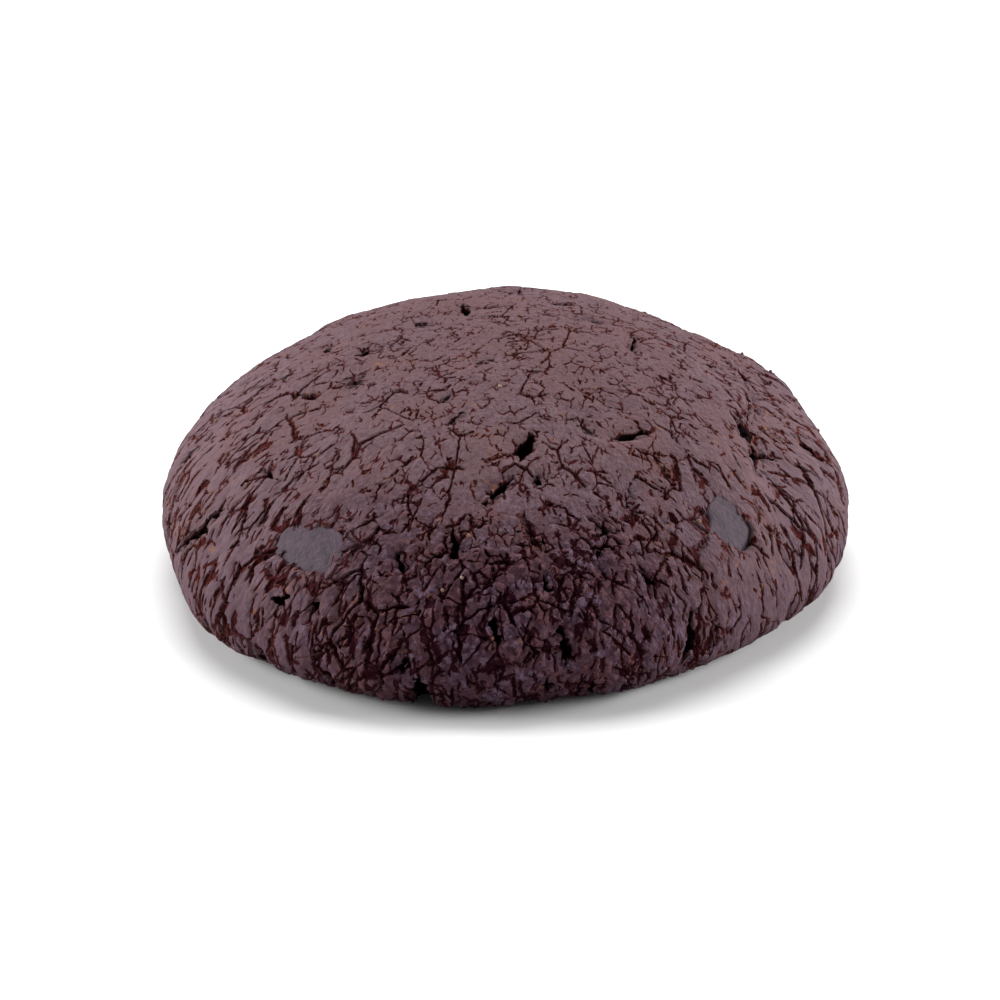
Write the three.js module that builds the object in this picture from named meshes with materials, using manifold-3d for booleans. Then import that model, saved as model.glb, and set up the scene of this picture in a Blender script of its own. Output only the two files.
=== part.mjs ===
// A double chocolate cookie: one soft-baked dome, split by fissures while it rose, with chocolate chunks
// set in its crust.
//
// Millimetres, +Z up. The origin is under the middle of the cookie, on the surface it rests on, and the
// side that is looked at faces -Y. A place on the crust is written [bearing, up]. The bearing is in degrees
// around the middle, from 0 at the front, growing towards +X. "up" is the length along the crust from the
// edge of the flat base, which grows to the crown.

import * as THREE from 'three';
import { ImprovedNoise } from 'three/addons/math/ImprovedNoise.js';
import { mergeVertices } from 'three/addons/utils/BufferGeometryUtils.js';
import Module from 'manifold-3d';

// ---- Driving dimensions, in mm ----

const COOKIE_WIDTH = 79.5;
const COOKIE_HEIGHT = 29;
const BASE_WIDTH = 69;
const BELLY_HEIGHT = 6.5; // where the cookie is widest
const DOME_FULLNESS = 1.78; // 1 is a cone, 2 a half ellipse

// The outline is not quite round: each row is a number of swells around it, how far they stand out, and
// the bearing of the first one.
const OUTLINE_SWELLS = [
  { count: 1, rise: 1.1, bearing: -90 },
  { count: 2, rise: 0.4, bearing: 111 },
  { count: 3, rise: 0.72, bearing: -30 },
];
const CROWN_LEAN = { rise: 1.8, bearing: 157 }; // the crown is higher towards this bearing

// Soft bulges and hollows of the dough: where each is, how wide, and how far it stands out.
const DOUGH_BULGES = [
  { at: [-97, 14], reach: 8, rise: 0.6 },
  { at: [-77, 7], reach: 4, rise: -0.5 },
  { at: [-58, 4.5], reach: 8, rise: 0.65 },
  { at: [-38, 3.5], reach: 7, rise: 0.5 },
  { at: [-14, 3], reach: 6, rise: -0.5 },
  { at: [29, 1.5], reach: 6, rise: -0.35 },
  { at: [50, 3], reach: 5, rise: 0.4 },
  { at: [70, 4.5], reach: 7, rise: 0.95 },
  { at: [117, 19], reach: 7, rise: 1 },
  { at: [127, 28], reach: 5, rise: -0.8 },
  { at: [162, 34], reach: 7, rise: 0.3 },
  { at: [-148, 34], reach: 7, rise: -0.75 },
];

// Soft lumps in the crust, by the distance between them and how far they stand out.
const CRUST_LUMPS = [
  { spacing: 18, rise: 0.7 },
  { spacing: 7.5, rise: 0.45 },
  { spacing: 3.4, rise: 0.28 },
];
const CRUST_RINGS = 30; // rings of facets between the crown and the base
const CRUST_SECTORS = 6; // a ring has this many corners more than the one inside it
const WELD_DISTANCE = 1e-4;
const BASE_BAND = 2.4; // lumps fade out over this length above the base
const PROFILE_STEPS = 200;

// On the right the crown slid over the rim as it rose, which left a shallow shelf under its edge. The edge
// is "lip" long, comes down by "cornerDrop" at its front corner, and fades in and out around the cookie.
const SHELF = {
  drop: 1.5,
  fromBearing: 58,
  toBearing: 128,
  fadeIn: 9,
  fadeOut: 27,
  cornerTurn: 18,
  cornerDrop: 5.5,
  topUp: 28.8,
  bottomUp: 15,
  lip: 1.4,
};

// Fissures wide enough to see into. Each runs from one place on the crust to another.
const FRONT_FISSURES = [
  { from: [3, 34], to: [9, 39], width: 1.5, depth: 4 },
  { from: [-7, 27.6], to: [3, 33.8], width: 0.8, depth: 2.2 },
  { from: [6.5, 32.8], to: [8.5, 30.8], width: 1, depth: 2 },
  { from: [29, 35.4], to: [48, 34.1], width: 1, depth: 2.6 },
  { from: [25, 40.4], to: [30, 35], width: 0.55, depth: 1.2 },
  { from: [15, 27], to: [24, 22.6], width: 0.7, depth: 1.6 },
  { from: [-34, 50.2], to: [-8, 52.2], width: 0.6, depth: 1.1 },
  { from: [-10, 20.6], to: [-11, 26.6], width: 1.1, depth: 3 },
  { from: [-19, 19.6], to: [-21, 23.6], width: 0.8, depth: 2 },
  { from: [-2, 12], to: [-2, 17], width: 1.1, depth: 2.6 },
  { from: [9, 8.8], to: [9, 15], width: 1.4, depth: 3.4 },
  { from: [7, 17.2], to: [7, 20.6], width: 0.8, depth: 2 },
  { from: [17, 17], to: [18, 23.6], width: 0.7, depth: 2 },
  { from: [30, 4], to: [33, 14], width: 1.5, depth: 3 },
  { from: [-13.6, -8], to: [-13.6, 9.5], width: 2.7, depth: 5.5 },
  { from: [-18, 8], to: [-15, 12.2], width: 0.8, depth: 2 },
  { from: [-29, 2], to: [-28, 9.2], width: 1, depth: 2 },
  { from: [-42, -4], to: [-41, 8.6], width: 1.5, depth: 2.6 },
  { from: [-41, 13.4], to: [-36, 14.9], width: 1.1, depth: 2.8 },
  { from: [-56, -4], to: [-54, 9.2], width: 1.4, depth: 2.4 },
  { from: [-32, 12.4], to: [-31, 16], width: 0.8, depth: 1.6 },
  { from: [-69, 10], to: [-59, 20.7], width: 1.3, depth: 2.4 },
  { from: [6, 3], to: [7, 9.4], width: 0.9, depth: 1.8 },
  { from: [15, 1], to: [14, 7.4], width: 0.9, depth: 1.8 },
  { from: [55, 1], to: [56, 9.4], width: 1.2, depth: 2.2 },
  { from: [24, 19.2], to: [27, 15.6], width: 0.7, depth: 1.6 },
  { from: [-70, 37.6], to: [-76, 42.6], width: 0.6, depth: 1.2 },
  { from: [-32, 42], to: [-25, 45.4], width: 0.6, depth: 1.2 },
  { from: [-23, 39], to: [-15, 42.4], width: 0.6, depth: 1.2 },
  { from: [-63, 25.6], to: [-49, 26.2], width: 0.6, depth: 1.2 },
  { from: [-46, 17.8], to: [-44, 23.6], width: 1.1, depth: 2 },
  { from: [25, 25.2], to: [33, 30.1], width: 0.6, depth: 1.3 },
  { from: [94, 28.9], to: [74, 27.4], width: 0.7, depth: 1.8 },
  { from: [74, 27.4], to: [62.5, 22.6], width: 0.9, depth: 2.2 },
  { from: [67, 25.2], to: [76.5, 22.2], width: 0.8, depth: 1.4 },
  { from: [93, 28.6], to: [91, 24.6], width: 0.7, depth: 1.4 },
];

// The rest of the crust split in the same way: long fissures run down the sides, short ones cross the top.
// They are dealt out in rows up the slope, so that no part of the crust is left bare.
const BACK_FISSURES = {
  count: 36,
  fromBearing: 66,
  toBearing: 290,
  rows: 5,
  rowSpacing: 9.5,
  lowestUp: 4,
  upSpread: 4,
  shortest: 3.2,
  longest: 6.6,
  sideWidth: 0.9,
  topWidth: 0.6,
  widthSpread: 0.5,
  depthPerWidth: 2.2,
  seed: 7,
};
const SIDE_TOP_UP = 27; // below this, a fissure runs down the slope
const SIDE_LEAN = 0.25; // radians that it may lean to a side
const CROWN_KEEP = 6; // nearer to the crown than this, a turn is reckoned as if at this radius

const FISSURE_BENDS = 4;
const FISSURE_LIFT = 1.6; // how far a fissure's cutter stands out of the crust
const FISSURE_JAG = 0.45; // how far a bend strays to a side, in widths
const FISSURE_NARROWEST = 0.85; // at its bends, in widths
const FISSURE_WIDEST = 1.35;
const FISSURE_FLOOR = 0.4; // how wide its floor is, in mouths
const FISSURE_BLUNTNESS = 0.5; // how fast it opens from its ends: less is blunter
const FISSURE_TIP_LIFT = 0.3; // how far its pointed ends lie above the crust, in depths

// Chocolate chunks that broke through the crust. size is [around, up the slope, into the cookie].
const CHUNKS = {
  chocolate_chunk_left: { at: [-38, 20.3], size: [8, 5.6, 4.4], turn: 14, seed: 1 },
  chocolate_chunk_right: { at: [48, 20.3], size: [5.4, 5.4, 4.2], turn: -25, seed: 2 },
  chocolate_chunk_back_left: { at: [-139, 17.5], size: [8, 5.8, 4.4], turn: -20, seed: 3 },
  chocolate_chunk_back_top: { at: [171, 31], size: [6.6, 7.4, 4], turn: 35, seed: 4 },
  chocolate_chunk_back_right: { at: [128, 21], size: [7, 6.4, 4.2], turn: 10, seed: 5 },
};
const CHUNK_PROUD = 0.15; // how far a chunk's face stands out of the crust
const CHUNK_SQUARENESS = 3.4; // 2 is an egg, more is squarer
const CHUNK_ROUGHNESS = 0.26;
const CHUNK_GAP = 0.35; // the crust shrank away from the chocolate
const CHUNK_FACETS = { around: 14, upward: 10 };

const CRUST_COLOUR = '#5d4546';
const CRUST_ROUGHNESS = 0.85;
const CHOCOLATE_COLOUR = '#4f4248';
const CHOCOLATE_ROUGHNESS = 0.55;

// ---- Helpers ----

const radians = THREE.MathUtils.degToRad;
const smoothstep = THREE.MathUtils.smoothstep;
const noise = new ImprovedNoise();

function seededRandom(seed) {
  let state = seed * 7919 + 1;
  return function next() {
    state = (state * 16807) % 2147483647;
    return state / 2147483647;
  };
}

function solidFrom(wasm, geometry) {
  const bare = geometry.clone();
  bare.deleteAttribute('normal');
  bare.deleteAttribute('uv');
  const merged = mergeVertices(bare, WELD_DISTANCE);
  return new wasm.Manifold(new wasm.Mesh({
    numProp: 3,
    vertProperties: new Float32Array(merged.attributes.position.array),
    triVerts: new Uint32Array(merged.index.array),
  }));
}

function geometryFrom(solid) {
  const mesh = solid.getMesh();
  const geometry = new THREE.BufferGeometry();
  geometry.setAttribute('position', new THREE.BufferAttribute(mesh.vertProperties, 3));
  geometry.setIndex(new THREE.BufferAttribute(mesh.triVerts, 1));
  return geometry;
}

// ---- The crust as a surface ----

// The dome's cross-section, as even steps of length from the base edge to the crown.
function crustProfile() {
  const outline = new THREE.Path();
  outline.moveTo(BASE_WIDTH / 2, 0);
  const tuck = (COOKIE_WIDTH - BASE_WIDTH) / 2;
  outline.absellipse(BASE_WIDTH / 2, BELLY_HEIGHT, tuck, BELLY_HEIGHT, -Math.PI / 2, 0);
  const points = outline.getPoints(PROFILE_STEPS);
  for (let step = 1; step <= PROFILE_STEPS; step += 1) {
    const angle = (Math.PI / 2) * (1 - step / PROFILE_STEPS);
    const across = Math.sin(angle) ** (2 / DOME_FULLNESS);
    const rise = Math.cos(angle) ** (2 / DOME_FULLNESS);
    points.push(new THREE.Vector2(
      (COOKIE_WIDTH / 2) * across,
      BELLY_HEIGHT + (COOKIE_HEIGHT - BELLY_HEIGHT) * rise,
    ));
  }
  return new THREE.Path().setFromPoints(points);
}

const profile = crustProfile();
const CROWN_UP = profile.getLength();

// The shelf under the edge of the crown on the right side.
function shelfDrop(bearing, up) {
  const { fromBearing, toBearing, lip } = SHELF;
  const around = smoothstep(bearing, fromBearing, fromBearing + SHELF.fadeIn)
    * (1 - smoothstep(bearing, toBearing - SHELF.fadeOut, toBearing));
  const corner = 1 - smoothstep(bearing, fromBearing, fromBearing + SHELF.cornerTurn);
  const edgeUp = SHELF.topUp - SHELF.cornerDrop * corner;
  const below = 1 - smoothstep(up, edgeUp - (2 * lip) / 3, edgeUp + lip / 3);
  const above = smoothstep(up, SHELF.bottomUp, edgeUp - lip);
  return SHELF.drop * around * below * above;
}

// How far the crust stands out at a place, apart from its smooth form.
function crustLumps(spot, bearing, up) {
  let rise = 0;
  for (const lumps of CRUST_LUMPS) {
    const { x, y, z } = spot.clone().divideScalar(lumps.spacing).addScalar(lumps.spacing);
    rise += lumps.rise * noise.noise(x, y, z);
  }
  return rise * smoothstep(up, 0, BASE_BAND) - shelfDrop(bearing, up);
}

// The profile turned around the middle, swollen and leaning.
function domePoint(bearing, up) {
  const along = profile.getPointAt(THREE.MathUtils.clamp(up / CROWN_UP, 0, 1));
  const share = along.x / (COOKIE_WIDTH / 2);
  let radius = along.x;
  for (const swell of OUTLINE_SWELLS) {
    radius += swell.rise * share * Math.cos(swell.count * radians(bearing - swell.bearing));
  }
  const lean = CROWN_LEAN.rise * Math.cos(radians(bearing - CROWN_LEAN.bearing));
  const height = along.y + lean * share * (along.y / COOKIE_HEIGHT);
  const angle = radians(bearing);
  return new THREE.Vector3(radius * Math.sin(angle), -radius * Math.cos(angle), height);
}

const bulges = DOUGH_BULGES.map((bulge) => ({ ...bulge, centre: domePoint(...bulge.at) }));

// The smooth form: the dome with its bulges, which push straight out from the middle of the base. Below
// the base edge it goes straight down.
function smoothCrust(bearing, up) {
  const spot = domePoint(bearing, up);
  let rise = 0;
  for (const bulge of bulges) {
    rise += bulge.rise * Math.exp(-((spot.distanceTo(bulge.centre) / bulge.reach) ** 2));
  }
  spot.addScaledVector(spot.clone().normalize(), rise);
  spot.z += Math.min(up, 0);
  return spot;
}

// The outward direction, from two short steps along the smooth form.
function crustNormal(bearing, up) {
  const turn = 1;
  const reach = 0.4;
  const safeUp = THREE.MathUtils.clamp(up, reach, CROWN_UP - reach);
  const around = smoothCrust(bearing + turn, up).sub(smoothCrust(bearing - turn, up));
  const upward = smoothCrust(bearing, safeUp + reach).sub(smoothCrust(bearing, safeUp - reach));
  return around.cross(upward).normalize();
}

function crustPoint(bearing, up) {
  const spot = smoothCrust(bearing, up);
  if (up >= CROWN_UP) {
    const lift = crustLumps(spot, bearing, up);
    return spot.add(new THREE.Vector3(0, 0, lift));
  }
  return spot.addScaledVector(crustNormal(bearing, up), crustLumps(spot, bearing, up));
}

// ---- The dome ----

// Rings of facets: ring k has 6k corners, so the facets keep the same size from the crown to the base.
function domeGeometry() {
  const points = [crustPoint(0, CROWN_UP)];
  for (let ring = 1; ring <= CRUST_RINGS; ring += 1) {
    const up = CROWN_UP * (1 - ring / CRUST_RINGS);
    const corners = CRUST_SECTORS * ring;
    for (let corner = 0; corner < corners; corner += 1) {
      const spot = crustPoint((360 * corner) / corners - 180, up);
      spot.z = Math.max(spot.z, 0);
      points.push(spot);
    }
  }
  const corner = (ring, sector, place) => {
    if (ring === 0) {
      return 0;
    }
    const before = 1 + (CRUST_SECTORS * ring * (ring - 1)) / 2;
    return before + ((sector * ring + place) % (CRUST_SECTORS * ring));
  };
  const faces = [];
  for (let ring = 0; ring < CRUST_RINGS; ring += 1) {
    for (let sector = 0; sector < CRUST_SECTORS; sector += 1) {
      for (let place = 0; place <= ring; place += 1) {
        faces.push(
          corner(ring, sector, place),
          corner(ring + 1, sector, place),
          corner(ring + 1, sector, place + 1),
        );
      }
      for (let place = 0; place < ring; place += 1) {
        faces.push(
          corner(ring, sector, place),
          corner(ring + 1, sector, place + 1),
          corner(ring, sector, place + 1),
        );
      }
    }
  }
  const baseCentre = points.length;
  points.push(new THREE.Vector3(0, 0, 0));
  for (let place = 0; place < CRUST_SECTORS * CRUST_RINGS; place += 1) {
    faces.push(baseCentre, corner(CRUST_RINGS, 0, place + 1), corner(CRUST_RINGS, 0, place));
  }
  const geometry = new THREE.BufferGeometry().setFromPoints(points);
  geometry.setIndex(faces);
  return geometry;
}

// ---- Fissures ----

// A jagged trough that opens outwards, has a narrow floor and comes to a point at both ends.
function fissureGeometry({ from, to, width, depth }, seed) {
  const random = seededRandom(seed);
  const points = [];
  const faces = [];
  const side = new THREE.Vector3();
  const start = smoothCrust(...from);
  const end = smoothCrust(...to);
  const run = end.clone().sub(start).normalize();
  for (let bend = 0; bend <= FISSURE_BENDS; bend += 1) {
    const share = bend / FISSURE_BENDS;
    const bearing = THREE.MathUtils.lerp(from[0], to[0], share);
    const up = THREE.MathUtils.lerp(from[1], to[1], share);
    const normal = crustNormal(bearing, up);
    side.crossVectors(run, normal).normalize();
    const spot = crustPoint(bearing, up);
    const isTip = bend === 0 || bend === FISSURE_BENDS;
    if (isTip) {
      points.push(spot.addScaledVector(normal, FISSURE_TIP_LIFT * depth));
      continue;
    }
    spot.addScaledVector(side, (2 * random() - 1) * FISSURE_JAG * width);
    const open = Math.sin(Math.PI * share) ** FISSURE_BLUNTNESS;
    const half = (width / 2) * open * THREE.MathUtils.lerp(FISSURE_NARROWEST, FISSURE_WIDEST, random());
    const flare = half * (1 + (1 - FISSURE_FLOOR) * (FISSURE_LIFT / depth));
    const bottom = spot.clone().addScaledVector(normal, -depth * open);
    const top = spot.clone().addScaledVector(normal, FISSURE_LIFT);
    points.push(
      top.clone().addScaledVector(side, -flare),
      top.clone().addScaledVector(side, flare),
      bottom.clone().addScaledVector(side, FISSURE_FLOOR * half),
      bottom.clone().addScaledVector(side, -FISSURE_FLOOR * half),
    );
  }
  const sections = FISSURE_BENDS - 1;
  const lastTip = points.length - 1;
  const corners = 4;
  const at = (section, place) => 1 + corners * section + (place % corners);
  for (let place = 0; place < corners; place += 1) {
    faces.push(0, at(0, place + 1), at(0, place));
    for (let section = 0; section < sections - 1; section += 1) {
      faces.push(at(section, place), at(section + 1, place + 1), at(section + 1, place));
      faces.push(at(section, place), at(section, place + 1), at(section + 1, place + 1));
    }
    faces.push(lastTip, at(sections - 1, place), at(sections - 1, place + 1));
  }
  const geometry = new THREE.BufferGeometry().setFromPoints(points);
  geometry.setIndex(faces);
  return geometry;
}

function backFissures() {
  const { count, fromBearing, toBearing, rows } = BACK_FISSURES;
  const random = seededRandom(BACK_FISSURES.seed);
  const fissures = [];
  for (let index = 0; index < count; index += 1) {
    const bearing = fromBearing + ((toBearing - fromBearing) * (index + random() / 2)) / count;
    const row = (2 * index) % rows;
    const up = BACK_FISSURES.lowestUp + BACK_FISSURES.rowSpacing * row + BACK_FISSURES.upSpread * random();
    const length = THREE.MathUtils.lerp(BACK_FISSURES.shortest, BACK_FISSURES.longest, random());
    const onSide = up < SIDE_TOP_UP;
    const lean = onSide ? SIDE_LEAN * (2 * random() - 1) : Math.PI * random();
    const spot = smoothCrust(bearing, up);
    const radius = Math.max(CROWN_KEEP, Math.hypot(spot.x, spot.y));
    const turn = THREE.MathUtils.radToDeg((length * Math.sin(lean)) / radius);
    const least = onSide ? BACK_FISSURES.sideWidth : BACK_FISSURES.topWidth;
    const width = least + BACK_FISSURES.widthSpread * random();
    fissures.push({
      from: [bearing, up],
      to: [bearing + turn, up + length * Math.cos(lean)],
      width,
      depth: BACK_FISSURES.depthPerWidth * width,
    });
  }
  return fissures;
}

// ---- Chocolate chunks ----

function chunkGeometry({ at, size, turn, seed }, margin) {
  const geometry = new THREE.SphereGeometry(1, CHUNK_FACETS.around, CHUNK_FACETS.upward);
  const spots = geometry.attributes.position;
  const spot = new THREE.Vector3();
  for (let index = 0; index < spots.count; index += 1) {
    spot.fromBufferAttribute(spots, index);
    const squared = Math.abs(spot.x) ** CHUNK_SQUARENESS + Math.abs(spot.y) ** CHUNK_SQUARENESS
      + Math.abs(spot.z) ** CHUNK_SQUARENESS;
    const rough = 1 + CHUNK_ROUGHNESS * noise.noise(spot.x + seed, spot.y + 3 * seed, spot.z);
    spot.multiplyScalar(squared ** (-1 / CHUNK_SQUARENESS) * rough);
    spots.setXYZ(
      index,
      spot.x * (size[0] / 2 + margin),
      spot.y * (size[1] / 2 + margin),
      spot.z * (size[2] / 2 + margin),
    );
  }
  const outward = crustNormal(...at);
  const around = new THREE.Vector3(0, 0, 1).cross(outward).normalize();
  const upward = outward.clone().cross(around);
  const centre = crustPoint(...at).addScaledVector(outward, CHUNK_PROUD - size[2] / 2);
  geometry.rotateZ(radians(turn));
  geometry.applyMatrix4(new THREE.Matrix4().makeBasis(around, upward, outward));
  geometry.translate(centre.x, centre.y, centre.z);
  return geometry;
}

// ---- The cookie ----

const wasm = await Module();
wasm.setup();

function cookieSolid() {
  let solid = solidFrom(wasm, domeGeometry());
  [...FRONT_FISSURES, ...backFissures()].forEach((fissure, index) => {
    solid = solid.subtract(solidFrom(wasm, fissureGeometry(fissure, index + 1)));
  });
  for (const chunk of Object.values(CHUNKS)) {
    solid = solid.subtract(solidFrom(wasm, chunkGeometry(chunk, CHUNK_GAP)));
  }
  return solid;
}

function namedMesh(name, geometry, colour, roughness) {
  const material = new THREE.MeshStandardMaterial({ color: colour, roughness, metalness: 0 });
  const mesh = new THREE.Mesh(geometry, material);
  mesh.name = name;
  return mesh;
}

const doubleChocolateCookie = new THREE.Group();
const crust = geometryFrom(cookieSolid());
doubleChocolateCookie.add(namedMesh('cookie', crust, CRUST_COLOUR, CRUST_ROUGHNESS));
for (const [name, chunk] of Object.entries(CHUNKS)) {
  const geometry = geometryFrom(solidFrom(wasm, chunkGeometry(chunk, 0)));
  doubleChocolateCookie.add(namedMesh(name, geometry, CHOCOLATE_COLOUR, CHOCOLATE_ROUGHNESS));
}

// The swells move the outline a little off centre, so the cookie is moved back over the origin.
const middle = new THREE.Box3().setFromObject(doubleChocolateCookie).getCenter(new THREE.Vector3());
doubleChocolateCookie.position.set(-middle.x, -middle.y, 0);

export default doubleChocolateCookie;
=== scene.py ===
# %% [markdown]
# # A double chocolate cookie
#
# The plain solids of the cookie are already made. This lesson gives them their looks: a crust
# that split into thousands of small flakes while it baked, chocolate chunks that broke through it, and a few
# crumbs. The first step loads the solids as a frame. Nothing in the frame moves: every piece made here is
# laid on it.

# %% Load the frame
import math

import bmesh
import bpy
import numpy as np
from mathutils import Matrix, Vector, noise
from mathutils.kdtree import KDTree


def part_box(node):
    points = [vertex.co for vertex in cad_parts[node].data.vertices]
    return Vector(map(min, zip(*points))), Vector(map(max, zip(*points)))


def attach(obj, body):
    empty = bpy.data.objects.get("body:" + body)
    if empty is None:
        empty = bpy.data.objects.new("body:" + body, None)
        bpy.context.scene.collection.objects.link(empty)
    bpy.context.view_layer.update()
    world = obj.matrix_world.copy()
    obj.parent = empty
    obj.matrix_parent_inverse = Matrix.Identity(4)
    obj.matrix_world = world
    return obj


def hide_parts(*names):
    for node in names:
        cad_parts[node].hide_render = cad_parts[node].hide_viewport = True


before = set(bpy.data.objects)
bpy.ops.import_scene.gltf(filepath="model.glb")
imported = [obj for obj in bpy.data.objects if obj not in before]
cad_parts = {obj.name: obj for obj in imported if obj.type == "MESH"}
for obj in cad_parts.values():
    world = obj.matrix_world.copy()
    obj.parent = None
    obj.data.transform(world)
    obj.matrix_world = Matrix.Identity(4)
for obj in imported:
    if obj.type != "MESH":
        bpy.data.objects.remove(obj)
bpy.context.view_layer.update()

MM = 0.001
scene = bpy.context.scene
cookie_low, cookie_high = (np.array(corner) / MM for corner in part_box("cookie"))
print("cookie, mm:", (cookie_high - cookie_low).round(1))

# %% [markdown]
# ## The camera
#
# The photo was taken from a little above the table with a long lens, which keeps the cookie's proportions.
# The angle was worked out by fitting a smooth dome to the outline in the photo. A long lens at arm's length
# gives the same shape as in the photo, so there is no need for a wide lens and a closer camera.

# %% Place the camera
CAMERA_RISE = math.radians(26)
CAMERA_DISTANCE = 0.400
AIM_POINT = Vector((0.0, 0.0, 0.010))
LENS = 123.0
FRAME_SHIFT = (-0.0062, -0.0216)


def make_camera():
    lens = bpy.data.cameras.new("photo_camera")
    lens.sensor_width = 36.0
    lens.lens = LENS
    lens.shift_x, lens.shift_y = FRAME_SHIFT
    lens.clip_start = 0.01
    camera = bpy.data.objects.new("photo_camera", lens)
    backwards = Vector((0.0, -math.cos(CAMERA_RISE), math.sin(CAMERA_RISE)))
    camera.location = AIM_POINT + CAMERA_DISTANCE * backwards
    camera.rotation_euler = (-backwards).to_track_quat("-Z", "Y").to_euler()
    scene.collection.objects.link(camera)
    scene.camera = camera
    return camera


camera = make_camera()
print("camera stands at, m:", tuple(round(value, 3) for value in camera.location))

# %% [markdown]
# ## A helper for wiring nodes
#
# The crack pattern is needed twice: once to shape the crust, and once to colour it. If both come from one
# function, the dark lines always fall into the real grooves. So this small class adds nodes to any tree, a
# geometry tree or a material's tree, and the pattern is written only once.


# %% Define the wiring helper
class Wires:
    """Adds nodes to one tree. Every input may be a number or the output of another node."""

    def __init__(self, tree):
        self.tree = tree

    def feed(self, socket, value):
        if isinstance(value, bpy.types.NodeSocket):
            self.tree.links.new(value, socket)
        else:
            socket.default_value = value

    def node(self, kind, inputs=None, **settings):
        made = self.tree.nodes.new(kind)
        for name, value in settings.items():
            setattr(made, name, value)
        for key, value in (inputs or {}).items():
            self.feed(made.inputs[key], value)
        return made

    def math(self, operation, first, second=0.0):
        return self.node("ShaderNodeMath", {0: first, 1: second}, operation=operation).outputs[0]

    def total(self, *values):
        summed = values[0]
        for value in values[1:]:
            summed = self.math("ADD", summed, value)
        return summed

    def largest(self, *values):
        found = values[0]
        for value in values[1:]:
            found = self.math("MAXIMUM", found, value)
        return found

    def vector(self, operation, first, second=(0.0, 0.0, 0.0)):
        made = self.node("ShaderNodeVectorMath", {0: first, 1: second}, operation=operation)
        return made.outputs["Value"] if operation == "LENGTH" else made.outputs[0]

    def scale(self, vector, factor):
        made = self.node("ShaderNodeVectorMath", {0: vector, "Scale": factor}, operation="SCALE")
        return made.outputs[0]

    def split(self, vector):
        return self.node("ShaderNodeSeparateXYZ", {0: vector}).outputs

    def smooth(self, value, start, end, low=0.0, high=1.0):
        inputs = {"Value": value, "From Min": start, "From Max": end, "To Min": low, "To Max": high}
        return self.node("ShaderNodeMapRange", inputs, interpolation_type="SMOOTHSTEP").outputs[0]

    def noise(self, place, size, detail=2.0, roughness=0.5):
        inputs = {"Vector": place, "Scale": 1.0 / size, "Detail": detail, "Roughness": roughness}
        return self.node("ShaderNodeTexNoise", inputs).outputs

    def cells(self, place, size, feature):
        inputs = {"Vector": place, "Scale": 1.0 / size}
        return self.node("ShaderNodeTexVoronoi", inputs, feature=feature).outputs

    def colour(self, factor, first, second):
        made = self.node("ShaderNodeMix", {0: factor, 6: first, 7: second}, data_type="RGBA")
        return made.outputs[2]


# %% [markdown]
# ## The crust's mesh
#
# The solid has the dome, the lumps, the shelf under the crown's edge and the large fissures. It has large
# facets, so it can't hold cracks as fine as a hair. Subdividing it would keep its long thin triangles. A
# voxel remesh is better: it lays a new skin of even squares, a sixth of a millimetre wide, over the same
# form.

# %% Lay a fine even skin over the solid
WELD_DISTANCE = 1e-7
SKIN_SQUARE = 0.16 * MM
SKIN_SMOOTHING = 2


def take_form_of(node_name, piece_name):
    """A new piece with a welded copy of a solid's mesh."""
    form = bmesh.new()
    form.from_mesh(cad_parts[node_name].data)
    bmesh.ops.remove_doubles(form, verts=form.verts, dist=WELD_DISTANCE)
    mesh = bpy.data.meshes.new(piece_name)
    form.to_mesh(mesh)
    form.free()
    piece = bpy.data.objects.new(piece_name, mesh)
    scene.collection.objects.link(piece)
    return piece


def apply_modifiers(piece):
    ready = piece.evaluated_get(bpy.context.evaluated_depsgraph_get())
    mesh = bpy.data.meshes.new_from_object(ready)
    piece.modifiers.clear()
    piece.data = mesh
    return piece


def lay_skin(piece, square, smoothing):
    remesh = piece.modifiers.new("even_skin", "REMESH")
    remesh.mode = "VOXEL"
    remesh.voxel_size = square
    remesh.use_smooth_shade = True
    relax = piece.modifiers.new("relax", "SMOOTH")
    relax.factor = 0.5
    relax.iterations = smoothing
    return apply_modifiers(piece)


crust = lay_skin(take_form_of("cookie", "crust"), SKIN_SQUARE, SKIN_SMOOTHING)
print("squares in the skin:", len(crust.data.polygons))

# %% [markdown]
# ## Measuring along the slope
#
# Many things on this crust depend on how far down the slope they are. The mean profile of the skin is
# measured once, from the crown to the lower edge. After that, any point's distance from the crown follows
# from the angle at which a point deep under the middle sees it.

# %% Measure the slope
CENTRE_DEPTH = 8.0
PROFILE_STEPS = 90
UNDERSIDE_HEIGHT = 0.35
FACING_DOWN = -0.5


def read_points(mesh):
    points = np.empty(len(mesh.vertices) * 3)
    mesh.vertices.foreach_get("co", points)
    return points.reshape(-1, 3) / MM


def write_points(mesh, points):
    mesh.vertices.foreach_set("co", (points * MM).astype(np.float32).ravel())
    mesh.update()


def read_normals(mesh):
    normals = np.empty(len(mesh.vertices) * 3)
    mesh.vertices.foreach_get("normal", normals)
    return normals.reshape(-1, 3)


def find_underside(mesh):
    return (read_points(mesh)[:, 2] < UNDERSIDE_HEIGHT) & (read_normals(mesh)[:, 2] < FACING_DOWN)


def slope_angle(points):
    return np.arctan2(points[:, 2] + CENTRE_DEPTH, np.hypot(points[:, 0], points[:, 1]))


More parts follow.
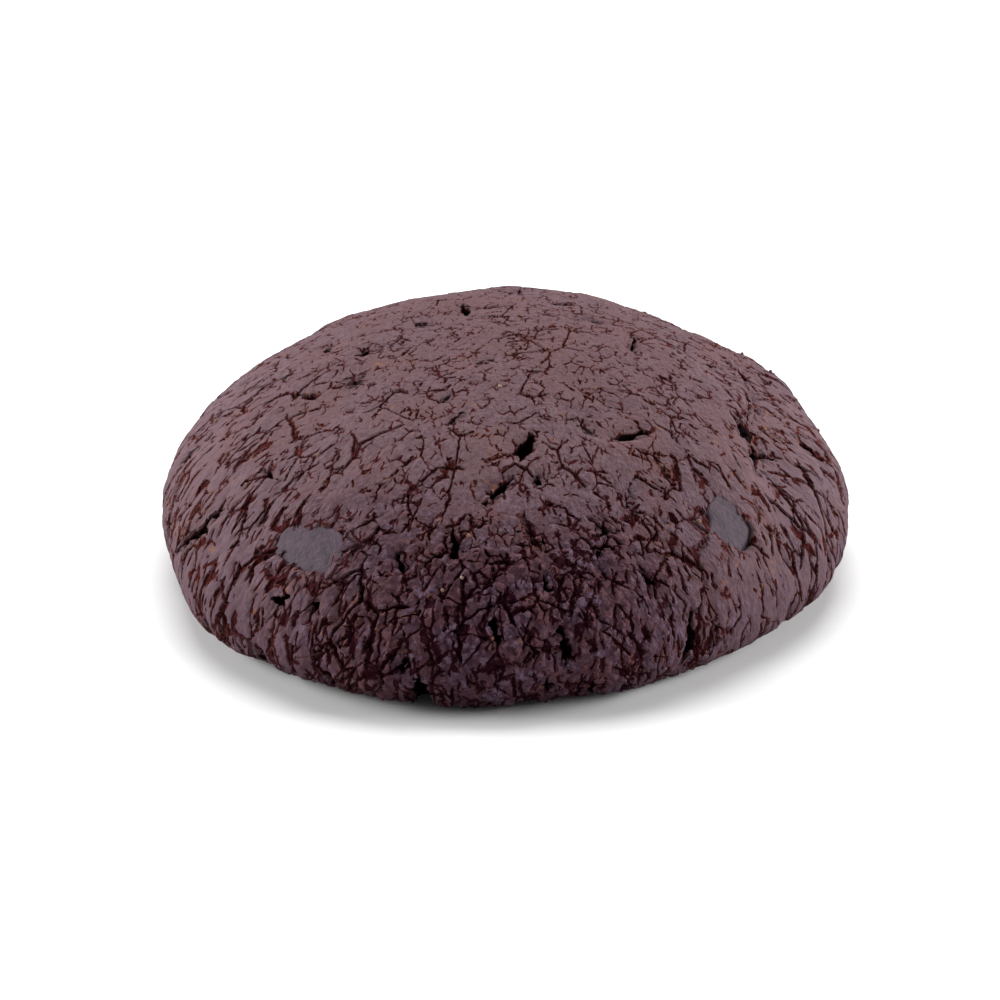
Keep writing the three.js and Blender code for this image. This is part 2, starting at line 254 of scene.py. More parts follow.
def measure_slope(points):
    """The angles and the distances from the crown along the mean profile, from the edge to the crown."""
    angle = slope_angle(points)
    radius = np.hypot(points[:, 0], points[:, 1])
    step = np.digitize(angle, np.linspace(angle.min(), math.pi / 2, PROFILE_STEPS))
    used = np.flatnonzero(np.bincount(step))
    count = np.bincount(step)[used]
    middles, radii, heights = (
        np.bincount(step, weights=values)[used] / count for values in (angle, radius, points[:, 2])
    )
    middles[-1], radii[-1], heights[-1] = math.pi / 2, 0.0, points[:, 2].max()
    lengths = np.hypot(np.diff(radii), np.diff(heights))
    return middles, np.append(np.cumsum(lengths[::-1])[::-1], 0.0)


SLOPE = measure_slope(read_points(crust.data)[~find_underside(crust.data)])
EDGE_DISTANCE = float(SLOPE[1].max())


def from_crown(points):
    return np.interp(slope_angle(points), *SLOPE)


def laid_flat(points):
    """Where each point comes if the crust is laid flat like a disc around the crown, in mm."""
    bearing = np.arctan2(points[:, 0], -points[:, 1])
    distance = from_crown(points)
    return np.stack([distance * np.sin(bearing), distance * np.cos(bearing)], axis=1)


print("crown to lower edge, mm:", round(EDGE_DISTANCE, 1))

# %% [markdown]
# ## How deep each point sits in a fissure
#
# The fissures get painted shade inside, so each point needs its depth. The crust is laid flat on a grid, and
# the grid is closed: first every square takes the highest value near it, then the lowest of those. That
# fills what is narrow and leaves what is wide. The filled crust minus the real one is the depth. A second
# grid holds how deep the fissure is that a point belongs to, so that the finish can paint a deep one's shade
# right up to its rim.

# %% Close the fissures on a grid
GRID_SQUARE = 0.4
FISSURE_REACH = 4
RIM_REACH = 1
GRID_MIDDLE = int(EDGE_DISTANCE / GRID_SQUARE) + 3 * FISSURE_REACH


def reach_out(points):
    """Each point's distance from the point deep under the middle."""
    return np.linalg.norm(points + (0.0, 0.0, CENTRE_DEPTH), axis=1)


def lay_on_grid(points):
    """The mean reach of the points in each square, and 0 in an empty one."""
    size = 2 * GRID_MIDDLE
    column, row = np.floor(laid_flat(points) / GRID_SQUARE).astype(int).T + GRID_MIDDLE
    square = row * size + column
    count = np.bincount(square, minlength=size * size)
    reach = np.bincount(square, weights=reach_out(points), minlength=size * size) / np.maximum(count, 1)
    return reach.reshape(size, size)


def highest_nearby(grid, reach):
    for axis in (0, 1):
        grid = np.max([np.roll(grid, step, axis) for step in range(-reach, reach + 1)], axis=0)
    return grid


def between_squares(grid, points):
    """The grid's value at each point, blended from the four squares around it."""
    spots = laid_flat(points) / GRID_SQUARE + GRID_MIDDLE - 0.5
    column, row = np.floor(spots).astype(int).T
    right, down = (spots - np.floor(spots)).T
    upper = grid[row, column] * (1 - right) + grid[row, column + 1] * right
    lower = grid[row + 1, column] * (1 - right) + grid[row + 1, column + 1] * right
    return upper * (1 - down) + lower * down


open_crust = lay_on_grid(read_points(crust.data)[~find_underside(crust.data)])
closed_crust = -highest_nearby(-highest_nearby(open_crust, FISSURE_REACH), FISSURE_REACH)
fissure_depth = highest_nearby(np.where(open_crust > 0, closed_crust - open_crust, 0.0), RIM_REACH)
print("deepest fissure, mm:", round(float(fissure_depth.max()), 1))

# %% [markdown]
# ## Where the dough stretched
#
# On the crown the dough rose evenly, so the flakes are as wide as they are long. On the flanks it slid down
# and out, so the cracks run down the slope. One pattern can do both if it is drawn in a space of its own: on
# the crown that space is the real one, and on the flanks it is squeezed along the slope, so that flakes come
# out long. At the front, and in one patch behind, the crust broke up into loose crumb, which is marked too.

# %% Mark the dough
CROWN_RADIUS = 30.0
SLOPE_SQUEEZE = 0.36
CRUMB_STRETCH = 0.30
EVEN_REACH = 39.0
FLANK_FROM_CROWN = (21.0, 44.0)
LOW_FROM_CROWN = (38.0, 54.0)
CRUMBLY_FROM_CROWN = (22.0, 40.0)
CRUMBLY_BEARINGS = (0, 155)
CRUMBLY_SPREAD = (58, 12)
DEEP_FISSURE = (1.3, 2.4)
# How much a deep fissure's depth is raised, so that its painted shade reaches up to its rim.
RIM_SHADE_BOOST = 2.5


def store(mesh, name, values):
    kind, key = ("FLOAT_VECTOR", "vector") if values.ndim == 2 else ("FLOAT", "value")
    attribute = mesh.attributes.get(name) or mesh.attributes.new(name, kind, "POINT")
    attribute.data.foreach_set(key, np.ascontiguousarray(values, dtype=np.float32).ravel())


def smooth_rise(values, start, end):
    share = np.clip((values - start) / (end - start), 0.0, 1.0)
    return share * share * (3.0 - 2.0 * share)


def crumbly_share(points):
    bearing = np.degrees(np.arctan2(points[:, 0], -points[:, 1]))
    apart = np.min([np.abs((bearing - patch + 180) % 360 - 180) for patch in CRUMBLY_BEARINGS], axis=0)
    return smooth_rise(apart, *CRUMBLY_SPREAD) * smooth_rise(from_crown(points), *CRUMBLY_FROM_CROWN)


def dough_places(points):
    radius = np.hypot(points[:, 0], points[:, 1])
    share = (1.0 + (radius / CROWN_RADIUS) ** 4) ** -0.25
    down = SLOPE_SQUEEZE * from_crown(points)
    down += CRUMB_STRETCH * crumbly_share(points) * (from_crown(points) - CRUMBLY_FROM_CROWN[0])
    return np.stack([points[:, 0] * share, points[:, 1] * share, down], axis=1)


def mark_dough(mesh):
    points = read_points(mesh)
    underside = find_underside(mesh)
    places = dough_places(points)
    places[underside] = points[underside]
    from_deep = (points + (0.0, 0.0, CENTRE_DEPTH)) / reach_out(points)[:, None]
    sunken = (between_squares(closed_crust, points) - reach_out(points)) * ~underside
    in_deep_one = smooth_rise(between_squares(fissure_depth, points), *DEEP_FISSURE)
    store(mesh, "dough_place", places)
    store(mesh, "even_place", EVEN_REACH * from_deep)
    store(mesh, "underside", underside.astype(float))
    store(mesh, "flank", smooth_rise(from_crown(points), *FLANK_FROM_CROWN))
    store(mesh, "low", smooth_rise(from_crown(points), *LOW_FROM_CROWN))
    store(mesh, "crumbly", crumbly_share(points) * ~underside)
    store(mesh, "sunken", sunken)
    # The depth that the finish paints shade by, raised in deep fissures so the painted shade reaches their
    # rims.
    store(mesh, "shadowed", sunken * (1.0 + RIM_SHADE_BOOST * in_deep_one))


mark_dough(crust.data)
print("marked on the crust:", sorted(name for name in crust.data.attributes.keys() if name[0] != "."))

# %% [markdown]
# ## Softer facets and torn fissures
#
# The solid's facets and straight-walled fissures would give it away. Geometry Nodes blurs the places of the
# points, which rounds the facets off, but leaves the points near a fissure alone, so its edge stays sharp.
# Then a noise pushes the fissures' walls about, because real ones are torn. Away from fissures nothing is
# pushed.

# %% Soften and tear
FACET_BLUR_STEPS = 70
NEAR_BLUR_STEPS = 10
NEAR_FISSURE = (0.08, 0.20)
TEAR_REACH = 0.80
TEAR_SIZE = 1.2


def open_shape_tree(name):
    tree = bpy.data.node_groups.new(name, "GeometryNodeTree")
    tree.interface.new_socket("Geometry", in_out="INPUT", socket_type="NodeSocketGeometry")
    tree.interface.new_socket("Geometry", in_out="OUTPUT", socket_type="NodeSocketGeometry")
    wires = Wires(tree)
    return wires, wires.node("NodeGroupInput").outputs[0]


def named(wires, name, kind="FLOAT"):
    return wires.node("GeometryNodeInputNamedAttribute", {"Name": name}, data_type=kind).outputs[0]


def blurred(wires, value, steps, kind):
    inputs = {"Value": value, "Iterations": steps}
    return wires.node("GeometryNodeBlurAttribute", inputs, data_type=kind).outputs[0]


def move(wires, geometry, **where):
    return wires.node("GeometryNodeSetPosition", {"Geometry": geometry, **where}).outputs[0]


def around_zero(wires, vector):
    return wires.vector("SUBTRACT", vector, (0.5, 0.5, 0.5))


def run_shape_tree(piece, wires, geometry):
    """Ends the tree with this geometry, runs it on the piece and keeps the result."""
    wires.node("NodeGroupOutput", {0: geometry})
    piece.modifiers.new(wires.tree.name, "NODES").node_group = wires.tree
    return apply_modifiers(piece)


def soften_and_tear(piece):
    wires, geometry = open_shape_tree("soften_and_tear")
    position = wires.node("GeometryNodeInputPosition").outputs[0]
    near = wires.smooth(blurred(wires, named(wires, "sunken"), NEAR_BLUR_STEPS, "FLOAT"), *NEAR_FISSURE)
    soft = blurred(wires, position, FACET_BLUR_STEPS, "FLOAT_VECTOR")
    kept = wires.node("ShaderNodeMix", {"Factor": near, 4: soft, 5: position}, data_type="VECTOR").outputs[1]
    geometry = move(wires, geometry, Position=kept)
    place = wires.scale(position, 1.0 / MM)
    tear = around_zero(wires, wires.noise(place, TEAR_SIZE, 3.0)[1])
    reach = wires.math("MULTIPLY", near, 2.0 * TEAR_REACH * MM)
    return run_shape_tree(piece, wires, move(wires, geometry, Offset=wires.scale(tear, reach)))


soften_and_tear(crust)
mark_dough(crust.data)
print("crust, mm:", np.ptp(read_points(crust.data), axis=0).round(1))

# %% [markdown]
# ## The crack pattern
#
# A drying, stretching skin tears into plates. Cell noise gives the plates, and the distance to a cell's edge
# gives the crack between two of them. Large plates split into flakes, and the flakes are torn by short
# slits: two more sizes of cell, most of whose edges stay shut. Contour lines of a noise don't suit the
# slits: they curl like worms and widen to blots. A slow noise opens and closes all cracks, so they
# start and stop. The ends of a long flake stay joined, so most cracks run down the slope. On the flanks and
# in loose crumb more of them stand open, and wider. On the crown they are shallow.

# %% Write the pattern once, for the shape and for the finish
PLATES = {"size": 4.2, "crack": 0.13, "depth": 0.46, "level": 0.10, "shut": 0.51}
FLAKES = {"size": 2.1, "crack": 0.11, "depth": 0.30, "level": 0.05, "shut": 0.51}
SLITS = {"size": 1.5, "crack": 0.09, "depth": 0.22, "level": 0.02, "shut": 0.52}
SHORT_SLITS = {"size": 0.95, "crack": 0.07, "depth": 0.13, "level": 0.02, "shut": 0.54}
OPEN_PATCH_OF_SIZE = 1.1
SHUT_TO_OPEN = 0.10
SLIT_STRETCH = (1.0, 1.0, 0.65)
CRACK_WALL = 0.04
CRACK_FLOOR = 0.4
HAIR_WIDTH = (0.01, 0.06)
END_OF_PLATE = (0.35, 0.95)
END_OPENS = 0.15
NEVER_ZERO = 0.001
FLANK_LOOSENS = 0.04
CRUMB_LOOSENS = 0.02
FLANK_WIDENS = 0.15
CRUMB_WIDENS = 0.20
CROWN_SHALLOWS = 0.65
WANDER = 0.36
WANDER_SIZE = 0.8


def wandered_place(wires, place):
    """Bends the pattern's space a little, because a tear is never straight."""
    drift = around_zero(wires, wires.noise(place, WANDER_SIZE, 4.0, 0.65)[1])
    return wires.vector("ADD", place, wires.scale(drift, 2.0 * WANDER))


def joined_ends(wires, place, cell):
    """How far a crack may open at this side of a plate: least at its two ends, up and down the slope."""
    from_middle = wires.vector("SUBTRACT", place, cell["Position"])
    reach = wires.math("ADD", wires.vector("LENGTH", from_middle), NEVER_ZERO)
    lengthways = wires.math("ABSOLUTE", wires.math("DIVIDE", wires.split(from_middle)[2], reach))
    return wires.smooth(lengthways, *END_OF_PLATE, 1.0, END_OPENS)


def crack_width(wires, place, kind, looseness):
    """How wide a kind of crack is here: half its width in mm, and 0 where it is shut."""
    loosened, widened = looseness
    patch = wires.math("ADD", wires.noise(place, OPEN_PATCH_OF_SIZE * kind["size"], 1.0)[0], loosened)
    widest = wires.math("MULTIPLY", widened, kind["crack"])
    return wires.smooth(patch, kind["shut"], kind["shut"] + SHUT_TO_OPEN, 0.0, widest)


def opened_crack(wires, distance, width):
    """1 in a crack and 0 beside it, from the distance to its middle line."""
    inner = wires.math("MULTIPLY", width, CRACK_FLOOR)
    crack = wires.smooth(distance, inner, wires.math("ADD", width, CRACK_WALL), 1.0, 0.0)
    return wires.math("MULTIPLY", crack, wires.smooth(width, *HAIR_WIDTH))


def plate_layer(wires, place, plate, looseness, shallow):
    """One size of plate: how open its cracks are, and how high its surface stands, in mm."""
    size = plate["size"]
    edge = wires.math("MULTIPLY", wires.cells(place, size, "DISTANCE_TO_EDGE")["Distance"], size)
    cell = wires.cells(place, size, "F1")
    width = crack_width(wires, place, plate, looseness)
    width = wires.math("MULTIPLY", width, joined_ends(wires, place, cell))
    crack = opened_crack(wires, edge, width)
    level = wires.math("MULTIPLY", wires.split(cell["Color"])[0], plate["level"])
    groove = wires.math("MULTIPLY", wires.math("MULTIPLY", crack, shallow), -plate["depth"])
    return crack, wires.math("ADD", groove, level)


def grown_with(wires, least, flank, on_flank, crumbly, in_crumb):
    """A value that is least on the crown, and larger on the flanks and in loose crumb."""
    flank_adds = wires.math("MULTIPLY", flank, on_flank)
    crumb_adds = wires.math("MULTIPLY", crumbly, in_crumb)
    return wires.total(flank_adds, crumb_adds, least)


def crust_layers(wires, place, flank, crumbly):
    """The cracks and the heights of the plates, the flakes and both sizes of slit."""
    wandered = wandered_place(wires, place)
    stretched = wires.vector("MULTIPLY", wandered, SLIT_STRETCH)
    loosened = grown_with(wires, 0.0, flank, FLANK_LOOSENS, crumbly, CRUMB_LOOSENS)
    widened = grown_with(wires, 1.0, flank, FLANK_WIDENS, crumbly, CRUMB_WIDENS)
    looseness = (loosened, widened)
    shallow = wires.smooth(flank, 0.0, 1.0, CROWN_SHALLOWS, 1.0)
    spaces = ((PLATES, wandered), (FLAKES, wandered), (SLITS, stretched), (SHORT_SLITS, stretched))
    return zip(*[plate_layer(wires, space, plate, looseness, shallow) for plate, space in spaces])


print("plates, flakes and slits, mm wide:", [kind["size"] for kind in (PLATES, FLAKES, SLITS, SHORT_SLITS)])

# %% [markdown]
# ## Raising the flakes
#
# Geometry Nodes moves each point of the skin out or in by the pattern's height. The flakes' faces get low
# wrinkles, drawn in the pattern's own space so that they run down the flanks like bark. The loose crumb is
# made of grains: round cells with a gap round each, in a space that isn't stretched. The underside lay on a
# tray, so it only gets shallow pits.

# %% Shape the crust
WRINKLE_SIZE = 1.3
WRINKLE_RISE = {"on_crown": 0.14, "on_flank": 0.30}
GRAIN_OF_CRUMB = 0.85
GRAIN_BEND = 0.9
GRAIN_GAP = (0.25, 0.70)
GRAIN_LIFT = 0.20
LUMP_SIZE = 2.2
LUMP_LIFT = 0.6
PIT_SHARE = 0.35
WALL_DEPTH = (0.5, 1.2)
WALL_KEEPS = 0.2


def crumb_grains(wires, place):
    """1 on a grain of crumb, and 0 in the gap round it."""
    drift = around_zero(wires, wires.noise(place, GRAIN_BEND, 3.0, 0.6)[1])
    place = wires.vector("ADD", place, drift)
    return wires.smooth(wires.cells(place, GRAIN_OF_CRUMB, "F1")["Distance"], *GRAIN_GAP, 1.0, 0.0)


def wrinkle_height(wires, place, flank):
    fold = wires.math("SUBTRACT", wires.noise(place, WRINKLE_SIZE, 3.0, 0.6)[0], 0.5)
    rise = wires.smooth(flank, 0.0, 1.0, 2.0 * WRINKLE_RISE["on_crown"], 2.0 * WRINKLE_RISE["on_flank"])
    return wires.math("MULTIPLY", fold, rise)


def crumb_height(wires, place, crumbly):
    lump = wires.math("SUBTRACT", wires.noise(place, LUMP_SIZE, 2.0)[0], 0.5)
    grain = wires.math("MULTIPLY", crumb_grains(wires, place), GRAIN_LIFT)
    lift = wires.math("ADD", wires.math("MULTIPLY", lump, LUMP_LIFT), grain)
    return wires.math("MULTIPLY", lift, crumbly)


def raise_the_flakes(piece):
    wires, geometry = open_shape_tree("raise_the_flakes")
    flank, crumbly = named(wires, "flank"), named(wires, "crumbly")
    dough_place, even_place = (named(wires, name, "FLOAT_VECTOR") for name in ("dough_place", "even_place"))
    _, heights = crust_layers(wires, dough_place, flank, crumbly)
    wrinkles = wrinkle_height(wires, dough_place, flank)
    height = wires.total(*heights, wrinkles, crumb_height(wires, even_place, crumbly))
    on_wall = wires.smooth(named(wires, "sunken"), *WALL_DEPTH, 1.0, WALL_KEEPS)
    height = wires.math("MULTIPLY", height, on_wall)
    pits = wires.math("MULTIPLY", wires.math("MINIMUM", height, 0.0), PIT_SHARE)
    factors = {"Factor": named(wires, "underside"), 2: height, 3: pits}
    lift = wires.math("MULTIPLY", wires.node("ShaderNodeMix", factors).outputs[0], MM)
    normal = wires.node("GeometryNodeInputNormal").outputs[0]
    return run_shape_tree(piece, wires, move(wires, geometry, Offset=wires.scale(normal, lift)))


def rest_on_table(piece):
    """Lifts what a pattern pushed below the table's level back up to it."""
    points = read_points(piece.data)
    points[:, 2] = np.maximum(points[:, 2], 0.0)
    write_points(piece.data, points)


raise_the_flakes(crust)
rest_on_table(crust)
print("crust with flakes, mm:", np.ptp(read_points(crust.data), axis=0).round(1))

# %% [markdown]
# ## Fewer triangles where the crust is flat
#
# The skin has the same small squares everywhere, also on flat flakes and on the underside. Collapse
# decimation spends the triangles where the shape needs them, in the cracks, and saves them on the flat parts.
# The points have moved, so the dough is marked again. Edges at a crack's rim are shaded sharp: smooth shading
# would round every flake off like a pillow.

# %% Thin the mesh out
CRUST_TRIANGLES = 195_000
SHARP_EDGE = math.radians(32)


def thin_out(piece, triangles):
    present = sum(len(polygon.vertices) - 2 for polygon in piece.data.polygons)
    thin = piece.modifiers.new("thin_out", "DECIMATE")
    thin.ratio = min(1.0, triangles / present)
    apply_modifiers(piece)
    piece.data.polygons.foreach_set("use_smooth", np.ones(len(piece.data.polygons), dtype=bool))
    piece.data.set_sharp_from_angle(angle=SHARP_EDGE)
    return len(piece.data.polygons)


print("triangles in the crust:", thin_out(crust, CRUST_TRIANGLES))
mark_dough(crust.data)

# %% [markdown]
# ## The crust's finish
#
# Dark cocoa dough bakes to a dull, slightly purple brown, not a red one. The cracks show the moist crumb, a
# dark red-brown, and the deep fissures get painted shade, nearly black. A few flecks of browned butter show
# as rust. The colours were judged against the photo under a soft white light. Gloss is kept very low: on a
# colour as dark as this, even a little of it lays a grey veil over the red of the cracks.

# %% Colour the crust
PLATE_LIGHT = (0.118, 0.073, 0.083, 1.0)
PLATE_DARK = (0.078, 0.044, 0.053, 1.0)
PLATE_WARM = (0.106, 0.057, 0.061, 1.0)
FLANK_COOL = (0.108, 0.069, 0.085, 1.0)
# Darker, redder colour low on the crust: partly painted shade.
LOW_SHADE = (0.056, 0.0230, 0.0400, 1.0)
CRUMB_DARK = (0.035, 0.0100, 0.0190, 1.0)
CRUMB_PALE = (0.102, 0.066, 0.103, 1.0)
CRUMB_WARM = (0.086, 0.034, 0.041, 1.0)
EDGE_DARK = (0.072, 0.0230, 0.0190, 1.0)
EDGE_RUST = (0.165, 0.062, 0.032, 1.0)
CRACK_RED = (0.042, 0.0062, 0.0058, 1.0)
# Cracks in loose crumb, low at the front: darker and bluer than CRACK_RED, partly painted shade.
CRUMB_CRACK_SHADE = (0.018, 0.0020, 0.0060, 1.0)
# Painted shade for deep fissures, nearly black.
FISSURE_SHADE = (0.0034, 0.0008, 0.0014, 1.0)
RUST = (0.180, 0.076, 0.040, 1.0)
BROAD_SIZE = 7.0
BROAD_TO_WARM = (0.35, 0.65)
WARM_SHARE = 0.6
PATCH_SIZE = 2.2
PATCH_TO_DARK = (0.40, 0.65)
PATCH_SHADES = 0.35
FIBRE_SIZE = 0.42
FIBRE_RISE = 0.42
FIBRE_TO_HIGHLIGHT = (0.35, 0.60)
FLANK_SHARE = 0.35
LOW_SHARE = 0.35
CRUMB_SHARE = 0.85
CRUMB_FIBRE = (0.38, 0.58)
CRUMB_PATCH = (0.42, 0.58)
# How light the painted shade leaves the gaps between crumb grains.
CRUMB_GAP_SHADE = 0.4
FLECK_SIZE = 1.3
FLECK_EDGE = (0.66, 0.76)
FLECK_SHARE = 0.6
BROAD_TO_RUST = (0.46, 0.60)
CRACK_EDGE = (0.02, 0.20)
CRACK_EDGE_SHARE = 0.7
CRACK_CORE = (0.12, 0.50)
RED_DEPTH = (0.50, 0.90)
SHADE_DEPTH = (0.80, 1.50)
FACE_FIBRE = (0.35, 0.65)
FACE_ROUGHNESS = (0.82, 0.68)


def open_finish(name):
    finish = bpy.data.materials.new(name)
    finish.use_nodes = True
    finish.node_tree.nodes.clear()
    wires = Wires(finish.node_tree)
    shader = wires.node("ShaderNodeBsdfPrincipled")
    wires.node("ShaderNodeOutputMaterial", {"Surface": shader.outputs[0]})
    return finish, wires, shader


def painted(wires, name):
    return wires.node("ShaderNodeAttribute", attribute_name=name).outputs


def plate_colour(wires, marks, broad, patch, fibre):
    """The colour of the flakes' faces, before the cracks: raised fibres paler, partly a painted highlight,
    and a band low on the crust darker, partly painted shade.
    """
    # Where the fibres stand high in the bump they are painted paler: partly their own tone, partly a painted
    # highlight.
    shade = wires.colour(wires.smooth(fibre, *FIBRE_TO_HIGHLIGHT), PLATE_DARK, PLATE_LIGHT)
    shade = wires.colour(wires.smooth(patch, *PATCH_TO_DARK, 0.0, PATCH_SHADES), shade, PLATE_DARK)
    shade = wires.colour(wires.smooth(broad, *BROAD_TO_WARM, 0.0, WARM_SHARE), shade, PLATE_WARM)
    shade = wires.colour(wires.math("MULTIPLY", marks["flank"], FLANK_SHARE), shade, FLANK_COOL)
    # Low on the crust, turned away from the lamps, the colour turns darker and redder: partly painted shade.
    return wires.colour(wires.math("MULTIPLY", marks["low"], LOW_SHARE), shade, LOW_SHADE)


def crumb_colour(wires, grains, patch, fibre):
    """The colour of loose crumb: pale, warm grains, partly a painted highlight, with painted shade in the
    gaps between them.
    """
    # Painted shade in the gaps between grains, and paler grain tops, partly a painted highlight.
    on_grain = wires.smooth(grains, 0.0, 1.0, CRUMB_GAP_SHADE, 1.0)
    light = wires.math("MULTIPLY", wires.smooth(fibre, *CRUMB_FIBRE), on_grain)
    shade = wires.colour(wires.smooth(patch, *CRUMB_PATCH), CRUMB_PALE, CRUMB_WARM)
    return wires.colour(light, CRUMB_DARK, shade)


def with_cracks(wires, shade, opened, marks, broad):
    """Lays the cracks' edges, their red insides and the painted shade of deep fissures over a colour."""
    edge = wires.colour(wires.smooth(broad, *BROAD_TO_RUST), EDGE_DARK, EDGE_RUST)
    # In loose crumb the cracks' red turns darker and bluer: partly painted shade.
    inside = wires.colour(marks["crumbly"], CRACK_RED, CRUMB_CRACK_SHADE)
    shade = wires.colour(wires.smooth(opened, *CRACK_EDGE, 0.0, CRACK_EDGE_SHARE), shade, edge)
    shade = wires.colour(wires.smooth(opened, *CRACK_CORE), shade, inside)
    # Deep fissures get painted shade, nearly black, by how deep they are.
    return wires.colour(wires.smooth(marks["shadowed"], *SHADE_DEPTH), shade, FISSURE_SHADE)


def crust_finish():
    finish, wires, shader = open_finish("baked_crust")
    dough_place, even_place = (painted(wires, name)["Vector"] for name in ("dough_place", "even_place"))
    marks = {name: painted(wires, name)["Fac"] for name in ("flank", "low", "crumbly", "shadowed")}
    cracks, heights = crust_layers(wires, dough_place, marks["flank"], marks["crumbly"])
    opened = wires.largest(*cracks, wires.smooth(marks["shadowed"], *RED_DEPTH))
    broad = wires.noise(even_place, BROAD_SIZE, 2.0)[0]
    patch = wires.noise(even_place, PATCH_SIZE, 3.0, 0.6)[0]
    fibre = wires.noise(dough_place, FIBRE_SIZE, 4.0, 0.68)[0]
    flecks = wires.smooth(wires.noise(even_place, FLECK_SIZE, 2.0)[0], *FLECK_EDGE, 0.0, FLECK_SHARE)

    crumb = crumb_colour(wires, crumb_grains(wires, even_place), patch, fibre)
    shade = plate_colour(wires, marks, broad, patch, fibre)
    shade = wires.colour(wires.math("MULTIPLY", marks["crumbly"], CRUMB_SHARE), shade, crumb)
    shade = wires.colour(flecks, shade, RUST)
    wires.feed(shader.inputs["Base Color"], with_cracks(wires, shade, opened, marks, broad))

    face_roughness = wires.smooth(fibre, *FACE_FIBRE, *FACE_ROUGHNESS)
    wires.feed(shader.inputs["Roughness"], wires.largest(face_roughness, opened))
    shader.inputs["Specular IOR Level"].default_value = 0.08
    height = wires.math("ADD", heights[-1], wires.math("MULTIPLY", fibre, FIBRE_RISE))
    bump = {"Height": height, "Strength": 0.9, "Distance": MM}
    wires.feed(shader.inputs["Normal"], wires.node("ShaderNodeBump", bump).outputs[0])
    return finish


def wear(piece, finish):
    piece.data.materials.clear()
    piece.data.materials.append(finish)


wear(crust, crust_finish())
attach(crust, "root")
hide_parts("cookie")
print("nodes in the crust's finish:", len(crust.data.materials[0].node_tree.nodes))

# %% [markdown]
# ## Chocolate chunks
#
# Baking chunks soften in the oven and set again, so they have a smooth, dull face. Each chunk's solid sits in
# its pocket with a gap all round, but the real crust clings to most of its edge. So the chunk is swollen into
# the gap, and a noise leaves it open in places. Its face must lie level with the crust: a smooth surface is
# fitted to the crust round the pocket, and the chunk's rounded top is pushed out or in until it follows that
# surface. Only at its lower right the face sinks away.

# %% Swell the chunks and set them level with the crust
CHUNK_SQUARE = 0.2 * MM
CHUNK_SMOOTHING = 6
CHUNK_SWELL = 0.20
CHUNK_DENT = 0.60
DENT_SIZE = 1.8
CHUNK_SUNK = 0.22
SHOULDER = 1.8
LEVEL_BAND = (0.6, 4.0)
LEVEL_ERROR = 0.45
OPEN_SIDE = (0.6, 0.0, -0.8)
OPEN_FROM_MIDDLE = (0.35, 0.85)
GAP_SHADE_FROM_MIDDLE = (0.48, 0.66)
OPEN_BY = 0.8
CHUNK_NODES = [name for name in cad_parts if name.startswith("chocolate_chunk")]


def swell_chunk(piece):
    wires, geometry = open_shape_tree("swell_the_chunk")
    position = wires.node("GeometryNodeInputPosition").outputs[0]
    place = wires.scale(position, 1.0 / MM)
    dents = wires.math("SUBTRACT", wires.noise(place, DENT_SIZE, 3.0, 0.6)[0], 0.5)
    lift = wires.math("ADD", wires.math("MULTIPLY", dents, 2.0 * CHUNK_DENT), CHUNK_SWELL)
    normal = wires.node("GeometryNodeInputNormal").outputs[0]
    geometry = move(wires, geometry, Offset=wires.scale(normal, wires.math("MULTIPLY", lift, MM)))
    inputs = {"Geometry": geometry, "Name": "chunk_place", "Value": place}
    kept = wires.node("GeometryNodeStoreNamedAttribute", inputs, data_type="FLOAT_VECTOR", domain="POINT")
    return run_shape_tree(piece, wires, kept.outputs[0])


def curve_terms(spots):
    """The terms of a curved surface over a flat place: level, two slopes and three bends."""
    across, down = spots.T
    return np.stack([np.ones(len(spots)), across, down, across ** 2, across * down, down ** 2], axis=1)


def fit_level(middle, radius):
    """A smooth surface through the crust in a band round a pocket, without the fissures in that band."""
    points = read_points(crust.data)
    spots = laid_flat(points) - middle
    beyond = np.linalg.norm(spots, axis=1) - radius
    used = (beyond > LEVEL_BAND[0]) & (beyond < LEVEL_BAND[1]) & ~find_underside(crust.data)
    spots, reach = spots[used], reach_out(points[used])
    level = np.linalg.lstsq(curve_terms(spots), reach, rcond=None)[0]
    kept = reach > curve_terms(spots) @ level - LEVEL_ERROR
    return np.linalg.lstsq(curve_terms(spots[kept]), reach[kept], rcond=None)[0]


def set_level(piece):
    points = read_points(piece.data)
    spots = laid_flat(points)
    middle = spots.mean(axis=0)
    radius = np.linalg.norm(spots - middle, axis=1).max()
    wanted = curve_terms(spots - middle) @ fit_level(middle, radius) - CHUNK_SUNK
    towards_open_side = (points - points.mean(axis=0)) @ OPEN_SIDE / radius
    wanted -= OPEN_BY * smooth_rise(towards_open_side, *OPEN_FROM_MIDDLE)
    # Marks where the finish paints shade on the face's sunk lower right.
    store(piece.data, "gap_shade", smooth_rise(towards_open_side, *GAP_SHADE_FROM_MIDDLE))
    depth = wanted - reach_out(points)
    flush = SHOULDER * np.clip(depth / SHOULDER, 0.0, 1.0) ** 3
    push = np.where(depth < SHOULDER, depth - flush, 0.0)
    from_deep = (points + (0.0, 0.0, CENTRE_DEPTH)) / reach_out(points)[:, None]
    write_points(piece.data, points + push[:, None] * from_deep)


# %% [markdown]
# ## The crust's hold on a chunk
#
# Soft chocolate and dough stick together, so the real crust runs unevenly over a chunk's edge. Cutting the
# crust with a Boolean would leave an even rim. Instead, the crust's points near a chunk are drawn in over it,
# by a little here and a lot there, as a noise says, and not at all on the side where the face sinks away.

# %% Draw the crust over the chunks' edges
CLING_FALLOFF = 3.0
CLING = (0.2, 1.7)
CLING_SIZE = 1.4


